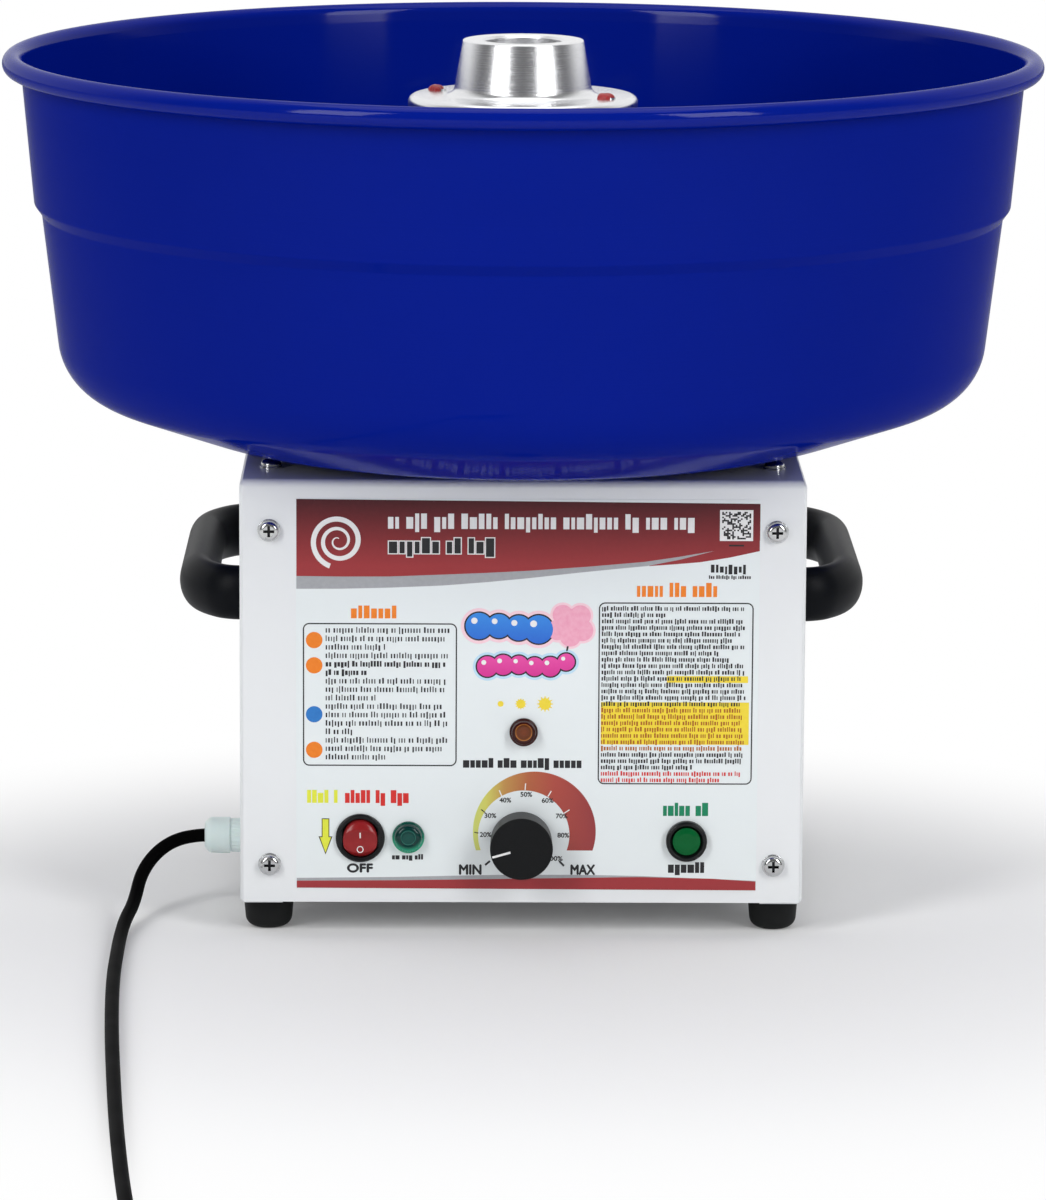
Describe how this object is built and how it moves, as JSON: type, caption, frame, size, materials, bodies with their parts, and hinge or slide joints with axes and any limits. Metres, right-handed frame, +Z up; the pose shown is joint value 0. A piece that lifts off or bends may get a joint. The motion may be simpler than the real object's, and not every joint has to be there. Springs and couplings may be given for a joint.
{
  "type": "electric candy floss machine",
  "caption": "tabletop electric candy floss machine with a round spun basin, a spinner head, a square folded-sheet cabinet, side handles and a mains lead",
  "frame": {"origin": "on the floor under the basin's axis, the centre of the bounding box's bottom face without the lead", "axes": "+Z up, +X to the right seen from the front, -Y towards the user (the printed front)"},
  "size_m": [0.5, 0.9731, 0.413],
  "materials": {
    "white_paint": "smooth satin powder coat",
    "blue_paint": "smooth glossy enamel",
    "printed_vinyl": "printed self-adhesive sheet, semi-gloss",
    "black_plastic": "moulded satin",
    "knob_plastic": "moulded semi-gloss",
    "black_rubber": "moulded matte",
    "screw_chrome": "bright nickel plate",
    "zinc_steel": "bright zinc plate",
    "head_aluminium": "fine turned and polished",
    "heating_band": "heat-tinted",
    "shaft_steel": "ground",
    "insulation": "moulded thermoset",
    "ring_brass": "turned",
    "brush_carbon": "pressed carbon",
    "motor_paint": "semi-gloss black",
    "bell_aluminium": "die-cast",
    "lamination_steel": "stamped and stacked",
    "winding_copper": "enamelled copper wire",
    "bearing_steel": "ground bearing rings",
    "red_plastic": "glossy moulded",
    "green_lens": "glossy translucent",
    "amber_lens": "glossy translucent",
    "green_plastic": "glossy moulded",
    "spring_steel": "drawn wire",
    "gland_plastic": "moulded nylon",
    "board_laminate": "solder-masked laminate with components",
    "capacitor_can": "drawn can",
    "terminal_plastic": "moulded polyamide",
    "cord_sheath": "smooth extruded sheath",
    "pin_brass": "nickel-plated pins"
  },
  "bodies": {
    "cabinet": {"wrap_cover": "white_paint", "side_panel_left": "white_paint", "side_panel_right": "white_paint", "bottom_plate": "zinc_steel", "cover_screws": "screw_chrome", "handle_left": "black_plastic", "handle_right": "black_plastic", "handle_screws": "zinc_steel", "foot_front_left": "black_rubber", "foot_front_right": "black_rubber", "foot_rear_left": "black_rubber", "foot_rear_right": "black_rubber", "foot_screws": "zinc_steel", "label_sheet": "printed_vinyl", "bowl": "blue_paint", "bowl_gasket": "black_rubber", "bowl_bolts": "zinc_steel", "tower_housing": "blue_paint", "brush_holder": "insulation", "carbon_brushes": "brush_carbon", "motor_plate": "zinc_steel", "motor_shell": "motor_paint", "motor_end_bells": "bell_aluminium", "stator_core": "lamination_steel", "stator_windings": "winding_copper", "bearing_outer_rings": "bearing_steel", "motor_bolts": "zinc_steel", "rocker_housing": "black_plastic", "green_lamp_lens": "green_lens", "amber_lamp_lens": "amber_lens", "lamp_bodies": "black_plastic", "button_housing": "black_plastic", "button_spring": "spring_steel", "panel_nuts": "zinc_steel", "pot_body": "zinc_steel", "gland_body": "gland_plastic", "gland_cap": "gland_plastic", "gland_seal": "black_rubber", "gland_locknut": "gland_plastic", "control_board": "board_laminate", "run_capacitor": "capacitor_can", "terminal_block": "terminal_plastic", "power_cord": "cord_sheath", "cord_coil": "cord_sheath", "plug_body": "cord_sheath", "plug_pins": "pin_brass"},
    "spinner": {"head_cap": "head_aluminium", "head_base": "head_aluminium", "heater_ribbon": "heating_band", "head_screws": "screw_chrome", "motor_shaft": "shaft_steel", "slip_ring_hub": "insulation", "slip_rings": "ring_brass", "rotor_core": "lamination_steel", "bearing_inner_rings": "bearing_steel", "cooling_fan": "bell_aluminium"},
    "rocker": {"rocker_paddle": "red_plastic"},
    "button": {"button_cap": "green_plastic"},
    "dial": {"knob": "knob_plastic", "pot_shaft": "shaft_steel"}
  },
  "joints": [
    {"name": "spinner_spin", "type": "hinge", "parent": "cabinet", "child": "spinner", "pos_m": [0, 0, 0.3], "axis": [0, 0, 1], "continuous": true},
    {"name": "rocker_tilt", "type": "hinge", "parent": "cabinet", "child": "rocker", "pos_m": [-0.0762, -0.11925, 0.0472], "axis": [1, 0, 0], "range_deg": [-20, 0]},
    {"name": "knob_turn", "type": "hinge", "parent": "cabinet", "child": "dial", "pos_m": [-0.0002, -0.128, 0.0457], "axis": [0, 1, 0], "range_deg": [-17, 226]},
    {"name": "start_button_press", "type": "slide", "parent": "cabinet", "child": "button", "axis": [0, 1, 0], "range_m": [0, 0.003], "stiffness_N_per_m": 300, "deforming": ["button_spring"]}
  ]
}
